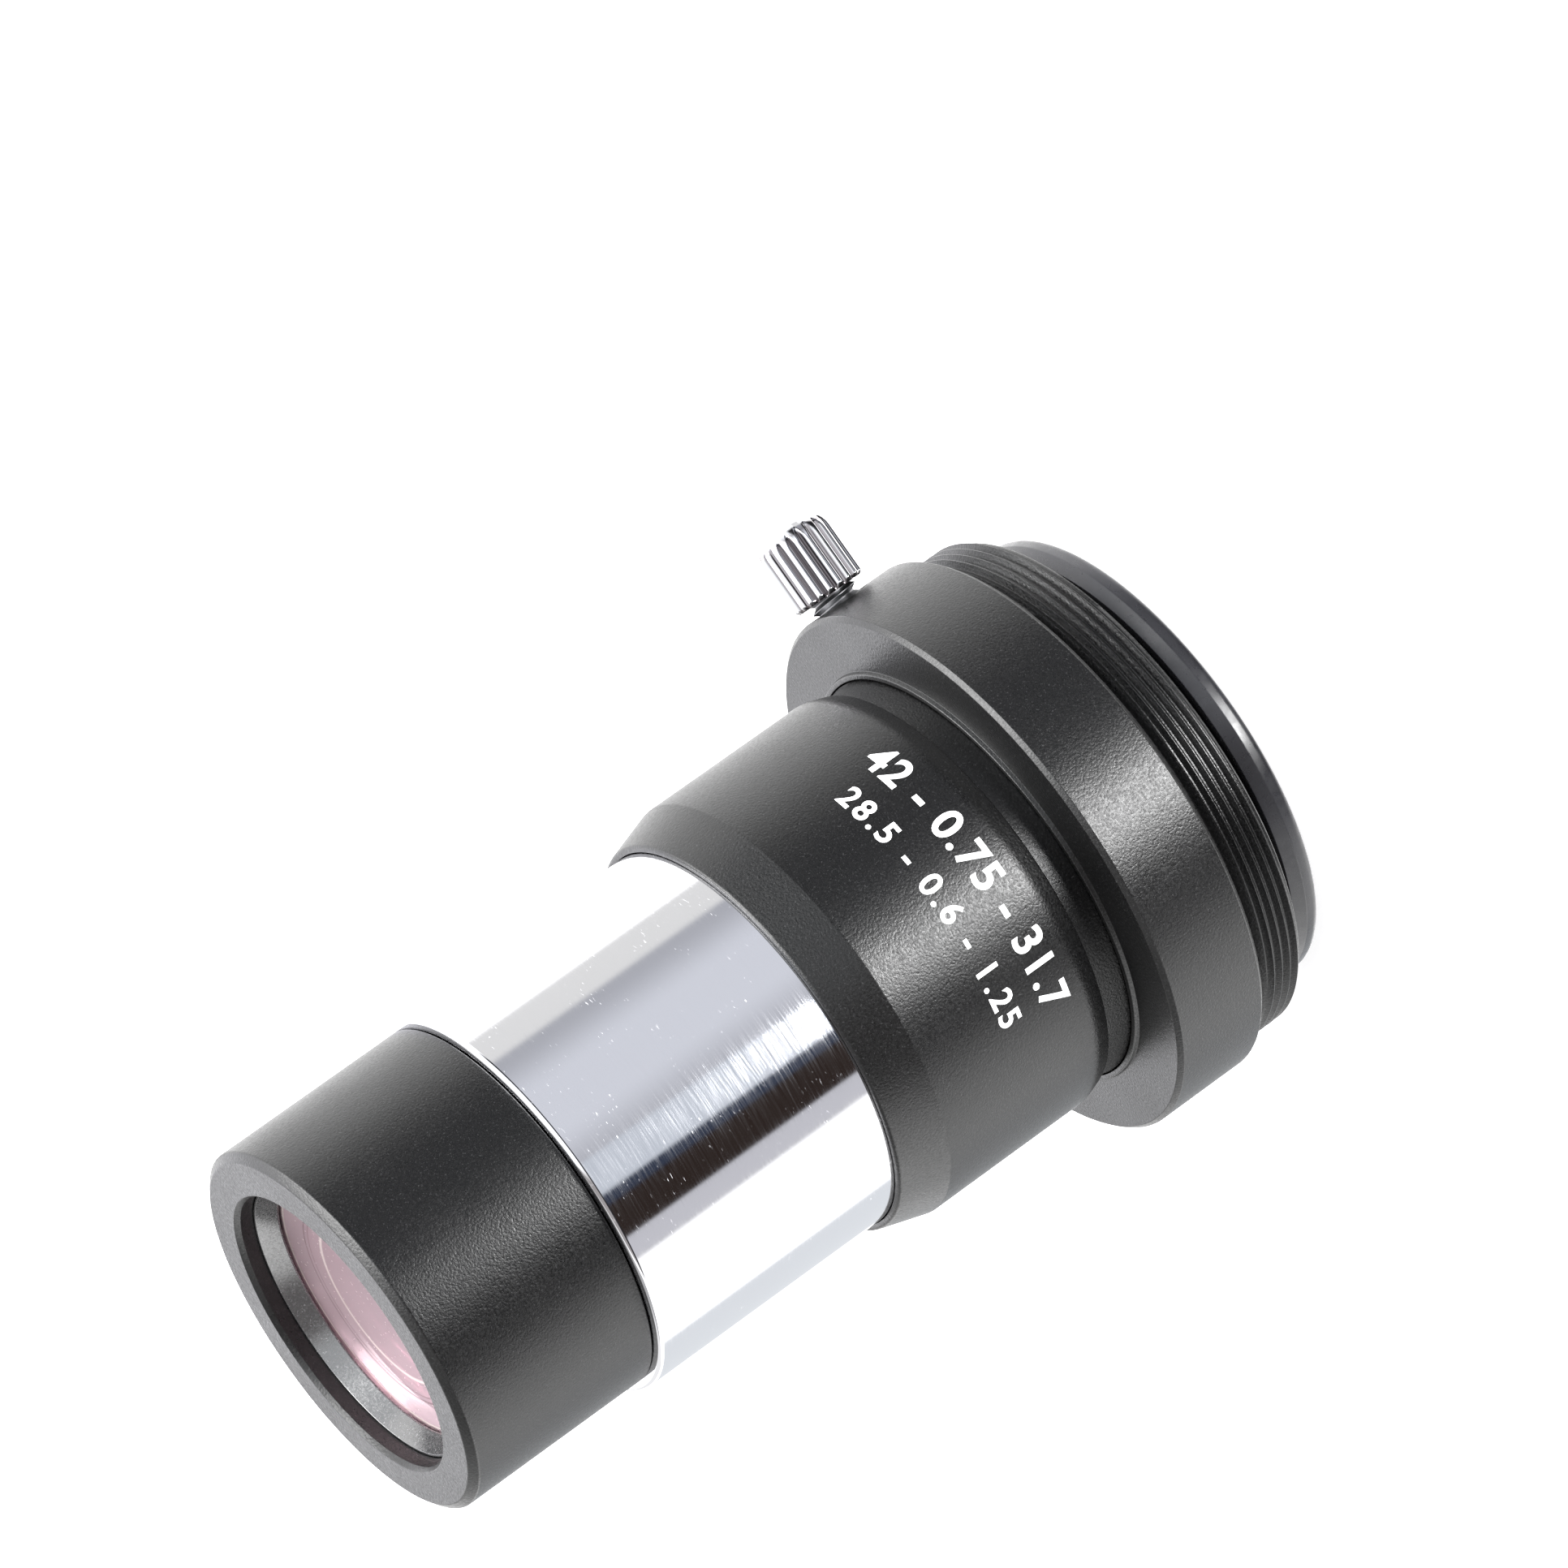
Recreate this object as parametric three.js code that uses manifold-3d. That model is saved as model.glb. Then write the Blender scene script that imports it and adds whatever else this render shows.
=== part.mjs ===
// A 1.25 inch 2x Barlow lens with an M42 camera thread, built as an assembly of separate pieces.
// Units are millimetres. The optical axis is Z. The part stands on its dust cap: the origin is the
// centre of the cap's flat outer face, +Z points to the lens cell at the other end, and the
// thumbscrew stands out along +X.

import * as THREE from 'three';
import { mergeVertices } from 'three/addons/utils/BufferGeometryUtils.js';
import Module from 'manifold-3d';

const wasm = await Module();
wasm.setup();

// ---- driving dimensions -------------------------------------------------------------------

const SEGMENTS = 48;              // facets round each turned piece
const SCREW_SEGMENTS = 24;        // facets round the thumbscrew and its hole
const SEAT_GAP = 0.05;            // air between faces that rest on each other
const OVERCUT = 1;                // how far a cutting tool runs past the face it breaks through

// dust cap: a moulded plug with a flange
const CAP_THICKNESS = 2.05;
const CAP_RADIUS = 18.7;
const CAP_EDGE = 0.5;             // how far the rim is drawn in at the flange's inner face
const CAP_ROUND = 0.8;            // rounding of the flange's outer edge
const CAP_LAND = 0.3;             // straight part of the rim
const PLUG_RADIUS = 15.7;
const PLUG_WALL = 1.2;
const PLUG_DEPTH = 7.5;
const PLUG_LEAD = [0.4, 0.5];     // radial, axial
const CAP_WEB = 1.6;

// heights of the main shoulders above the cap's face
const LIP_Z = CAP_THICKNESS + SEAT_GAP;
const THREAD_Z = 3.45;
const COLLAR_Z = 8.0;
const COLLAR_TOP_Z = 16.1;
const RIDGE_TOP_Z = 16.45;
const BODY_Z = 18.6;
const BEVEL_Z = 33.9;
const BODY_TOP_Z = 37.7;
const CELL_Z = 59.3;
const NOSE_Z = 75.5;

// eyepiece holder: collar, M42 x 0.75 camera thread and the lip that the cap rests on
const LIP_RADIUS = 17.4;
const M42_CREST = 20.9;
const M42_PITCH = 0.75;
const M42_DEPTH = 0.45;
const M42_LAND = 0.15;            // flat on each crest
const M42_TURNS = 5;
const M42_CHAMFER = 0.5;
const RELIEF_RADIUS = 20.3;
const RELIEF_RUNOUT = [21.0, 0.15];  // the groove's far wall: outer radius, depth into the collar
const LIP_CHAMFER = 0.5;
const COLLAR_RADIUS = 21.95;
const COLLAR_BACK_BEVEL = 0.4;
const COLLAR_FRONT_BEVEL = 0.35;
const RIDGE_RADIUS = 17.5;
const RIDGE_DRAFT = 0.1;
const SPIGOT_BORE = 17.0;
const SPIGOT_END_Z = 9.0;

// body tube
const SOCKET_RADIUS = 15.9;       // takes a 1.25 inch eyepiece, 31.75 mm
const SPIGOT_RADIUS = 16.9;
const NECK_RADIUS = 16.75;
const NECK_FILLET = 0.3;
const BODY_RADIUS = 17.55;
const BODY_EDGE = 0.5;
const RIM_RADIUS = 16.4;
const RIM_ROUND = 0.35;

// barrel: the chromed 1.25 inch nosepiece
const BARREL_RADIUS = 15.85;
const BARREL_BORE = 14.3;
const BARREL_INSERT = 7.2;        // length held inside the body tube
const BARREL_EDGE = 0.4;
const BARREL_EDGE_MID = 0.12;     // the edge's middle point, which makes it round

// lens cell with its M28.5 x 0.6 thread
const CELL_RADIUS = 15.05;
const CELL_CHAMFER = [0.85, 0.65];  // radial, axial
const CELL_BACK_EDGE = 0.15;
const CELL_THREAD_RADIUS = 14.15;
const CELL_THREAD_LENGTH = 3.0;
const CELL_THREAD_LEAD = 0.3;
const CELL_BORE = 11.4;
const CELL_MOUTH = [0.25, 0.4];     // chamfer at the mouth: radial, axial
const CELL_REAR_BORE = 10.3;

// spanner ring that holds the lens pair
const RING_RADIUS = 11.33;
const RING_TOP_DEPTH = 1.5;       // below the nose face
const RING_THICKNESS = 1.6;
const RING_BORE = 10.5;
const RING_MOUTH = 11.15;
const RING_LAND = 0.35;           // straight part of its bore
const NOTCH_WIDTH = 1.2;
const NOTCH_DEPTH = 0.6;

// lens pair: a double-concave front element and a meniscus behind it
const LENS_RADIUS = 11.25;
const FRONT_CURVE = 70;
const MIDDLE_CURVE = 45;
const REAR_CURVE = 120;
const FRONT_CENTRE = 1.2;
const REAR_CENTRE = 3.2;
const CEMENT = 0.02;
const LENS_STEPS = 6;

// thumbscrew, along +X at SCREW_Z
const SCREW_Z = 12.9;
const SCREW_HOLE = 2.1;
const SHANK_RADIUS = 1.95;
const SHANK_START = 16.95;
const SHANK_END = 25.2;
const TIP_START = 16.0;
const TIP_RADIUS = 1.45;
const SPOT_RADIUS = 2.6;
const SPOT_FLOOR = 21.3;
const KNOB_START = 22.8;
const KNOB_END = 29.4;
const KNOB_RADIUS = 2.95;
const KNOB_DOME = 2.4;
const KNOB_CHAMFER = 0.3;
const KNOB_BORE = 2.0;
const KNOB_BORE_DEPTH = 2.5;
const FLUTES = 20;
const FLUTE_DEPTH = 0.28;

// ---- materials ----------------------------------------------------------------------------

const anodised = new THREE.MeshStandardMaterial({ color: 0x1b1a1c, roughness: 0.5, metalness: 0.6 });
const chrome = new THREE.MeshStandardMaterial({ color: 0xe4e4ea, roughness: 0.08, metalness: 1.0 });
const steel = new THREE.MeshStandardMaterial({ color: 0xb8b8bc, roughness: 0.3, metalness: 1.0 });
const brass = new THREE.MeshStandardMaterial({ color: 0xc9a45a, roughness: 0.35, metalness: 1.0 });
const plastic = new THREE.MeshStandardMaterial({ color: 0x151518, roughness: 0.3, metalness: 0.0 });
const glass = new THREE.MeshStandardMaterial({
  color: 0xe8dbe4,
  roughness: 0.02,
  metalness: 0.0,
  transparent: true,
  opacity: 0.35,
});

// ---- helpers ------------------------------------------------------------------------------

// Points of a circular arc in the (radius, height) plane. Angles are in degrees.
function arc(centreR, centreZ, radius, from, to, steps) {
  const points = [];
  for (let i = 0; i <= steps; i += 1) {
    const angle = THREE.MathUtils.degToRad(from + ((to - from) * i) / steps);
    points.push([centreR + radius * Math.cos(angle), centreZ + radius * Math.sin(angle)]);
  }
  return points;
}

// Turns a profile of [radius, height] points round Z. The profile runs up the outside, and a
// piece with a hole through it runs down the inside and closes on its first point.
function turn(profile, segments = SEGMENTS) {
  const points = profile.map(([radius, height]) => new THREE.Vector2(radius, height));
  return new THREE.LatheGeometry(points, segments).rotateX(Math.PI / 2);
}

function turnRing(profile, segments = SEGMENTS) {
  return turn([...profile, profile[0]], segments);
}

// A plain rod along +X from one radius of the part to another, at the thumbscrew's height.
function radialRod(radius, from, to) {
  const rod = turn([[0, from], [radius, from], [radius, to], [0, to]], SCREW_SEGMENTS);
  return rod.rotateY(Math.PI / 2).translate(0, 0, SCREW_Z);
}

function toSolid(geometry) {
  const bare = geometry.clone();
  bare.deleteAttribute('normal');
  bare.deleteAttribute('uv');
  const merged = mergeVertices(bare, 1e-4);
  const mesh = new wasm.Mesh({
    numProp: 3,
    vertProperties: new Float32Array(merged.attributes.position.array),
    triVerts: new Uint32Array(merged.index.array),
  });
  return new wasm.Manifold(mesh);
}

function toGeometry(solid) {
  const mesh = solid.getMesh();
  const geometry = new THREE.BufferGeometry();
  geometry.setAttribute('position', new THREE.BufferAttribute(mesh.vertProperties, 3));
  geometry.setIndex(new THREE.BufferAttribute(mesh.triVerts, 1));
  geometry.computeVertexNormals();
  return geometry;
}

function cut(geometry, ...tools) {
  return toGeometry(tools.reduce((solid, tool) => solid.subtract(toSolid(tool)), toSolid(geometry)));
}

const part = new THREE.Group();

function add(name, geometry, material) {
  const mesh = new THREE.Mesh(geometry, material);
  mesh.name = name;
  part.add(mesh);
}

// ---- dust cap -----------------------------------------------------------------------------

function dustCap() {
  const plugEnd = CAP_THICKNESS + PLUG_DEPTH;
  const plugBore = PLUG_RADIUS - PLUG_WALL;
  return turn([
    [0, 0],
    ...arc(CAP_RADIUS - CAP_ROUND, CAP_ROUND, CAP_ROUND, -90, 0, 3),
    [CAP_RADIUS, CAP_ROUND + CAP_LAND],
    [CAP_RADIUS - CAP_EDGE, CAP_THICKNESS],
    [PLUG_RADIUS, CAP_THICKNESS],
    [PLUG_RADIUS, plugEnd - PLUG_LEAD[1]],
    [PLUG_RADIUS - PLUG_LEAD[0], plugEnd],
    [plugBore, plugEnd],
    [plugBore, CAP_WEB],
    [0, CAP_WEB],
  ]);
}

// ---- eyepiece holder ----------------------------------------------------------------------

// Rings stand for the thread's turns, each with its crest one pitch above the last.
function cameraThread() {
  const crests = [];
  for (let i = 0; i < M42_TURNS; i += 1) {
    const z = THREAD_Z + M42_CHAMFER + i * M42_PITCH;
    const rootZ = z + (M42_PITCH + M42_LAND) / 2;
    crests.push([M42_CREST, z], [M42_CREST, z + M42_LAND], [M42_CREST - M42_DEPTH, rootZ]);
  }
  return crests;
}

function eyepieceHolder() {
  const threadEnd = THREAD_Z + M42_CHAMFER + M42_TURNS * M42_PITCH;
  const body = turnRing([
    [SOCKET_RADIUS + LIP_CHAMFER, LIP_Z],
    [LIP_RADIUS, LIP_Z],
    [LIP_RADIUS, THREAD_Z],
    [M42_CREST - M42_CHAMFER, THREAD_Z],
    ...cameraThread(),
    [RELIEF_RADIUS, threadEnd],
    [RELIEF_RADIUS, COLLAR_Z + RELIEF_RUNOUT[1]],
    [RELIEF_RUNOUT[0], COLLAR_Z],
    [COLLAR_RADIUS - COLLAR_BACK_BEVEL, COLLAR_Z],
    [COLLAR_RADIUS, COLLAR_Z + COLLAR_BACK_BEVEL],
    [COLLAR_RADIUS, COLLAR_TOP_Z - COLLAR_FRONT_BEVEL],
    [COLLAR_RADIUS - COLLAR_FRONT_BEVEL, COLLAR_TOP_Z],
    [RIDGE_RADIUS, COLLAR_TOP_Z],
    [RIDGE_RADIUS - RIDGE_DRAFT, RIDGE_TOP_Z],
    [SPIGOT_BORE, RIDGE_TOP_Z],
    [SPIGOT_BORE, SPIGOT_END_Z - SEAT_GAP],
    [SOCKET_RADIUS, SPIGOT_END_Z - SEAT_GAP],
    [SOCKET_RADIUS, LIP_Z + LIP_CHAMFER],
  ]);
  const hole = radialRod(SCREW_HOLE, SOCKET_RADIUS - OVERCUT, SPOT_FLOOR + OVERCUT);
  const spotFace = radialRod(SPOT_RADIUS, SPOT_FLOOR, KNOB_END);
  return cut(body, hole, spotFace);
}

// ---- body tube ----------------------------------------------------------------------------

function bodyTube() {
  const body = turnRing([
    [SOCKET_RADIUS, SPIGOT_END_Z],
    [SPIGOT_RADIUS, SPIGOT_END_Z],
    [SPIGOT_RADIUS, RIDGE_TOP_Z],
    [NECK_RADIUS, RIDGE_TOP_Z + NECK_FILLET],
    [NECK_RADIUS, BODY_Z - NECK_FILLET],
    [NECK_RADIUS + NECK_FILLET, BODY_Z],
    ...arc(BODY_RADIUS - BODY_EDGE, BODY_Z + BODY_EDGE, BODY_EDGE, -90, 0, 3),
    [BODY_RADIUS, BEVEL_Z],
    ...arc(RIM_RADIUS - RIM_ROUND, BODY_TOP_Z - RIM_ROUND, RIM_ROUND, 10, 90, 3),
    [SOCKET_RADIUS, BODY_TOP_Z],
  ]);
  return cut(body, radialRod(SCREW_HOLE, SOCKET_RADIUS - OVERCUT, SPIGOT_RADIUS + OVERCUT));
}

// ---- barrel -------------------------------------------------------------------------------

function barrel() {
  const start = BODY_TOP_Z - BARREL_INSERT;
  const end = CELL_Z - SEAT_GAP;
  return turnRing([
    [BARREL_BORE, start],
    [BARREL_RADIUS, start],
    [BARREL_RADIUS, end - BARREL_EDGE],
    [BARREL_RADIUS - BARREL_EDGE_MID, end - BARREL_EDGE_MID],
    [BARREL_RADIUS - BARREL_EDGE, end],
    [BARREL_BORE, end],
  ]);
}

// ---- lens cell ----------------------------------------------------------------------------

const lensEdgeTop = NOSE_Z - RING_TOP_DEPTH - RING_THICKNESS - SEAT_GAP;
const sag = (curve, radius) => curve - Math.sqrt(curve * curve - radius * radius);
const frontEdge = FRONT_CENTRE + sag(FRONT_CURVE, LENS_RADIUS) + sag(MIDDLE_CURVE, LENS_RADIUS);
const rearEdge = REAR_CENTRE - sag(MIDDLE_CURVE, LENS_RADIUS) + sag(REAR_CURVE, LENS_RADIUS);
const middleEdgeZ = lensEdgeTop - frontEdge;
const rearEdgeZ = middleEdgeZ - CEMENT - rearEdge;

function lensCell() {
  const threadEnd = CELL_Z - CELL_THREAD_LENGTH;
  const ledge = rearEdgeZ - SEAT_GAP;
  return turnRing([
    [CELL_REAR_BORE, threadEnd],
    [CELL_THREAD_RADIUS - CELL_THREAD_LEAD, threadEnd],
    [CELL_THREAD_RADIUS, threadEnd + CELL_THREAD_LEAD],
    [CELL_THREAD_RADIUS, CELL_Z],
    [CELL_RADIUS - CELL_BACK_EDGE, CELL_Z],
    [CELL_RADIUS, CELL_Z + CELL_BACK_EDGE],
    [CELL_RADIUS, NOSE_Z - CELL_CHAMFER[1]],
    [CELL_RADIUS - CELL_CHAMFER[0], NOSE_Z],
    [CELL_BORE + CELL_MOUTH[0], NOSE_Z],
    [CELL_BORE, NOSE_Z - CELL_MOUTH[1]],
    [CELL_BORE, ledge],
    [CELL_REAR_BORE, ledge],
  ]);
}

function retainingRing() {
  const top = NOSE_Z - RING_TOP_DEPTH;
  const bottom = top - RING_THICKNESS;
  const ring = turnRing([
    [RING_BORE, bottom],
    [RING_RADIUS, bottom],
    [RING_RADIUS, top],
    [RING_MOUTH, top],
    [RING_BORE, bottom + RING_LAND],
  ]);
  const notches = new THREE.BoxGeometry(2 * RING_RADIUS + OVERCUT, NOTCH_WIDTH, 2 * NOTCH_DEPTH);
  return cut(ring, notches.translate(0, 0, top));
}

// Points of a lens surface from the axis to the rim. Bulge is +1 where the surface's middle is
// higher than its rim and -1 where it is lower.
function lensSurface(curve, rimZ, bulge) {
  const points = [];
  for (let i = 0; i <= LENS_STEPS; i += 1) {
    const radius = (LENS_RADIUS * i) / LENS_STEPS;
    points.push([radius, rimZ + bulge * (sag(curve, LENS_RADIUS) - sag(curve, radius))]);
  }
  return points;
}

function frontLens() {
  const back = lensSurface(MIDDLE_CURVE, middleEdgeZ, 1);
  const front = lensSurface(FRONT_CURVE, lensEdgeTop, -1);
  return turn([...back, ...front.reverse()]);
}

function rearLens() {
  const back = lensSurface(REAR_CURVE, rearEdgeZ, 1);
  const front = lensSurface(MIDDLE_CURVE, middleEdgeZ - CEMENT, 1);
  return turn([...back, ...front.reverse()]);
}

// ---- thumbscrew ---------------------------------------------------------------------------

function flutedOutline() {
  const shape = new THREE.Shape();
  const steps = 2 * FLUTES;
  for (let i = 0; i <= steps; i += 1) {
    const radius = i % 2 ? KNOB_RADIUS - FLUTE_DEPTH : KNOB_RADIUS;
    const angle = (2 * Math.PI * (i % steps)) / steps;
    const x = radius * Math.cos(angle);
    const y = radius * Math.sin(angle);
    if (i === 0) shape.moveTo(x, y);
    else if (i === steps) shape.closePath();
    else shape.lineTo(x, y);
  }
  return shape;
}

function thumbscrewKnob() {
  const length = KNOB_END - KNOB_START;
  const fluted = new THREE.ExtrudeGeometry(flutedOutline(), {
    depth: length + 2 * OVERCUT,
    bevelEnabled: false,
  });
  const dome = turn([
    [0, 0],
    [KNOB_RADIUS - KNOB_CHAMFER, 0],
    [KNOB_RADIUS, KNOB_CHAMFER],
    ...arc(0, 0, 1, 0, 90, 5).map(([r, z]) => [r * KNOB_RADIUS, length - KNOB_DOME + z * KNOB_DOME]),
  ], SCREW_SEGMENTS);
  const knob = toSolid(dome).intersect(toSolid(fluted.translate(0, 0, -OVERCUT)));
  const bore = turn([
    [0, -OVERCUT],
    [KNOB_BORE, -OVERCUT],
    [KNOB_BORE, KNOB_BORE_DEPTH],
    [0, KNOB_BORE_DEPTH],
  ], SCREW_SEGMENTS);
  const geometry = toGeometry(knob.subtract(toSolid(bore)));
  return geometry.rotateY(Math.PI / 2).translate(KNOB_START, 0, SCREW_Z);
}

// ---- assembly -----------------------------------------------------------------------------

add('dust_cap', dustCap(), plastic);
add('eyepiece_holder', eyepieceHolder(), anodised);
add('body_tube', bodyTube(), anodised);
add('barrel', barrel(), chrome);
add('lens_cell', lensCell(), anodised);
add('retaining_ring', retainingRing(), anodised);
add('lens_front', frontLens(), glass);
add('lens_rear', rearLens(), glass);
add('thumbscrew_knob', thumbscrewKnob(), chrome);
add('thumbscrew_shank', radialRod(SHANK_RADIUS, SHANK_START, SHANK_END), steel);
add('thumbscrew_tip', radialRod(TIP_RADIUS, TIP_START, SHANK_START - SEAT_GAP), brass);

export default part;
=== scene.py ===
"""Looks of a 1.25 inch 2x Barlow lens with an M42 camera thread.

The part stands on its dust cap on the floor. The optical axis is Z, the lens cell is at the top and
the thumbscrew stands out along +X. Sizes are in millimetres. A profile is a list of (radius, height)
points, and a point's third value, if it has one, is the radius that rounds its corner.
"""

import math

import bmesh
import bpy
from mathutils import Matrix, Quaternion, Vector


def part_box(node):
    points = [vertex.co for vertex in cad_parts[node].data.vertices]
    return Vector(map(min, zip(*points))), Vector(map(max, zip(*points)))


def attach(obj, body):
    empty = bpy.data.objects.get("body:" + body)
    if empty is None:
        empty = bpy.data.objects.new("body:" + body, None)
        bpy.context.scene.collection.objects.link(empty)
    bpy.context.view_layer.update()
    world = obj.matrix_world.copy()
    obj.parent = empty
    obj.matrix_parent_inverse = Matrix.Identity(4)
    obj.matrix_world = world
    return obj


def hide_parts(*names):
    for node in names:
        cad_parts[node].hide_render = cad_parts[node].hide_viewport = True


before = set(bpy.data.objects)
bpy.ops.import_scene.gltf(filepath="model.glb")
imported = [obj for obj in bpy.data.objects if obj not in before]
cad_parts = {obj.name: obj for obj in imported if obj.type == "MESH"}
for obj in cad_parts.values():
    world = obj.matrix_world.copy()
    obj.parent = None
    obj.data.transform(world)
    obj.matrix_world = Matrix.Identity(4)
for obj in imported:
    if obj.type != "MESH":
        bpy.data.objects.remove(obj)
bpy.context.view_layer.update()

MM = 0.001
X, Y, Z = 0, 1, 2

# Segments round a large piece, round a small one on the thumbscrew's axis, and in a rounded corner
SEGMENTS = 192
SCREW_SEGMENTS = 64
CORNER_STEPS = 5

# Edges stay crisp where they turn by more than this many degrees. The second is for fine shapes.
SHARP = 32
FINE_SHARP = 50

# Clearance between neighbours
GAP = 0.05


# ---- sizes taken from the frame ----------------------------------------------------------------


def span(node, axis):
    """A CAD node's lowest and highest value along an axis, in millimetres."""
    low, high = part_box(node)
    return low[axis] / MM, high[axis] / MM


CAP_RADIUS = span("dust_cap", X)[1]
PLUG_END_Z = span("dust_cap", Z)[1]
LIP_Z, RIDGE_TOP_Z = span("eyepiece_holder", Z)
COLLAR_RADIUS = span("eyepiece_holder", X)[1]
SPIGOT_END_Z, BODY_TOP_Z = span("body_tube", Z)
BODY_RADIUS = span("body_tube", X)[1]
BARREL_START_Z, BARREL_END_Z = span("barrel", Z)
BARREL_RADIUS = span("barrel", X)[1]
CELL_START_Z, NOSE_Z = span("lens_cell", Z)
CELL_RADIUS = span("lens_cell", X)[1]
RING_Z, RING_TOP_Z = span("retaining_ring", Z)
RING_RADIUS = span("retaining_ring", X)[1]
LENS_RADIUS = span("lens_front", X)[1]
LENS_SEAM_Z, LENS_TOP_Z = span("lens_front", Z)
LENS_REAR_Z = span("lens_rear", Z)[0]
KNOB_START, KNOB_END = span("thumbscrew_knob", X)
KNOB_RADIUS = span("thumbscrew_knob", Y)[1]
SHANK_START, SHANK_END = span("thumbscrew_shank", X)
SHANK_RADIUS = span("thumbscrew_shank", Y)[1]
TIP_START, TIP_END = span("thumbscrew_tip", X)
TIP_RADIUS = span("thumbscrew_tip", Y)[1]
SCREW_Z = sum(span("thumbscrew_knob", Z)) / 2


# ---- sizes of the details -----------------------------------------------------------------------

# Dust cap
CAP_THICKNESS = LIP_Z - GAP
CAP_EDGE_Z = 1.1
CAP_SLOPE = 0.5
CAP_WEB = 1.6
PLUG_RADIUS = 15.7
PLUG_WALL = 1.2
PLUG_LEAD = 0.4
PLUG_LEAD_HEIGHT = 0.5

# Eyepiece holder
LIP_RADIUS = 17.4
SOCKET_RADIUS = 15.9
SOCKET_LEAD = 0.5
THREAD_Z = 3.45
M42_CREST = 20.9
M42_PITCH = 0.75
M42_DEPTH = 0.43
M42_START_RADIUS = M42_CREST - 0.5
M42_END_Z = 7.45
RELIEF_RADIUS = 20.3
RELIEF_RUNOUT = 0.15
SHOULDER_RADIUS = M42_CREST + 0.1
COLLAR_Z = 8.0
COLLAR_TOP_Z = 16.1
COLLAR_BEVEL = 0.4
COLLAR_TOP_BEVEL = 0.35
RIDGE_RADIUS = 17.5
RIDGE_TAPER = 0.1
SPIGOT_BORE = 17.0

# Body tube
SPIGOT_RADIUS = 16.9
NECK_RADIUS = 16.75
NECK_STEP = 0.3
BODY_Z = 18.6
BODY_EDGE = 0.5
BODY_EDGE_HEIGHT = 1.5
BEVEL_Z = 33.9
RIM_RADIUS = 16.4

# Barrel, and the cell that screws into it
BARREL_BORE = 14.3
CELL_Z = BARREL_END_Z + GAP
CELL_BORE = 11.4
CELL_REAR_BORE = 10.3
CELL_THREAD_RADIUS = 14.15
CELL_THREAD_PITCH = 0.6
CELL_THREAD_DEPTH = 0.33
CELL_RELIEF_RADIUS = CELL_THREAD_RADIUS - 0.35
CELL_RELIEF_Z = CELL_Z - 0.4
CELL_BEVEL = 0.65
CELL_BEVEL_HEIGHT = 0.5
CELL_MOUTH = 0.25
CELL_MOUTH_HEIGHT = 0.4
LEDGE_Z = LENS_REAR_Z - GAP

# Spanner ring
RING_BORE = 10.5
RING_MOUTH = 11.15
RING_LAND = 0.12
RING_SLOT = 1.2

# Lens surfaces' radii of curvature, the cement between the two lenses, and points along a surface
FRONT_CURVE = 70
MIDDLE_CURVE = 45
REAR_CURVE = 120
CEMENT = 0.02
LENS_STEPS = 32

# Thumbscrew, its hole and the spot face round it
SCREW_HOLE = 2.1
SPOT_RADIUS = 2.6
SPOT_FLOOR = 21.3
OVERSHOOT = 1
SCREW_PITCH = 0.7
SCREW_THREAD_DEPTH = 0.4
SHANK_ROOT = SHANK_RADIUS - 0.42
KNOB_BORE = 2.0
KNOB_BORE_DEPTH = 2.5
KNOB_BEVEL = 0.3
KNOB_DOME = 2.4
DOME_STEPS = 24
FLUTES = 20
FLUTE_DEPTH = 0.36
FLUTE_SEGMENTS = 12
FLUTE_NARROWING = 1.8
FLUTE_FADE = 0.6

# Printed digits: thickness of the ink, their height in a font of size 1, how far their strokes are
# swollen for each millimetre of height, and the width of the slices that let them bend round the body
INK_HEIGHT = 0.012
DIGIT_SHARE = 0.7
STROKE_SWELL = 0.03
SLICE = 0.4


# ---- mesh helpers -------------------------------------------------------------------------------


def soften(profile):
    """Rounds each corner of a closed profile that carries a third value, the rounding's radius."""
    out = []
    for i, point in enumerate(profile):
        corner = Vector(point[:2])
        if len(point) < 3:
            out.append(corner)
            continue
        back = Vector(profile[i - 1][:2]) - corner
        ahead = Vector(profile[(i + 1) % len(profile)][:2]) - corner
        reach = point[2] / math.tan(back.angle(ahead) / 2)
        # Just under half of a side, so that the roundings at its two ends don't meet
        reach = min(reach, 0.48 * back.length, 0.48 * ahead.length)
        start = corner + back.normalized() * reach
        end = corner + ahead.normalized() * reach
        for k in range(CORNER_STEPS + 1):
            t = k / CORNER_STEPS
            out.append(start * (1 - t) ** 2 + corner * 2 * t * (1 - t) + end * t**2)
    return out


def round_z(radius, turn, height):
    """A point in metres, from its distance from Z, its angle in radians and its height."""
    return (radius * MM * math.cos(turn), radius * MM * math.sin(turn), height * MM)


def ring(bm, radius, height, segments):
    """Vertices round Z, or one vertex repeated where the radius is zero."""
    if radius < 1e-6:
        return [bm.verts.new((0, 0, height * MM))] * segments
    turns = [2 * math.pi * i / segments for i in range(segments)]
    return [bm.verts.new(round_z(radius, turn, height)) for turn in turns]


def bridge(bm, rings):
    """Faces between neighbouring rings, any of which may be a single point on the axis."""
    for low, high in zip(rings, rings[1:]):
        for i in range(len(low)):
            k = (i + 1) % len(low)
            corners = list(dict.fromkeys([low[i], low[k], high[k], high[i]]))
            if len(corners) > 2:
                bm.faces.new(corners)


def turned(profile, segments=SEGMENTS, closed=True, bm=None):
    """Turns a profile round Z. A closed profile goes round the cross-section of a ring."""
    bm = bm or bmesh.new()
    rings = [ring(bm, radius, height, segments) for radius, height in profile]
    if closed:
        rings.append(rings[0])
    bridge(bm, rings)
    return bm


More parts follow.
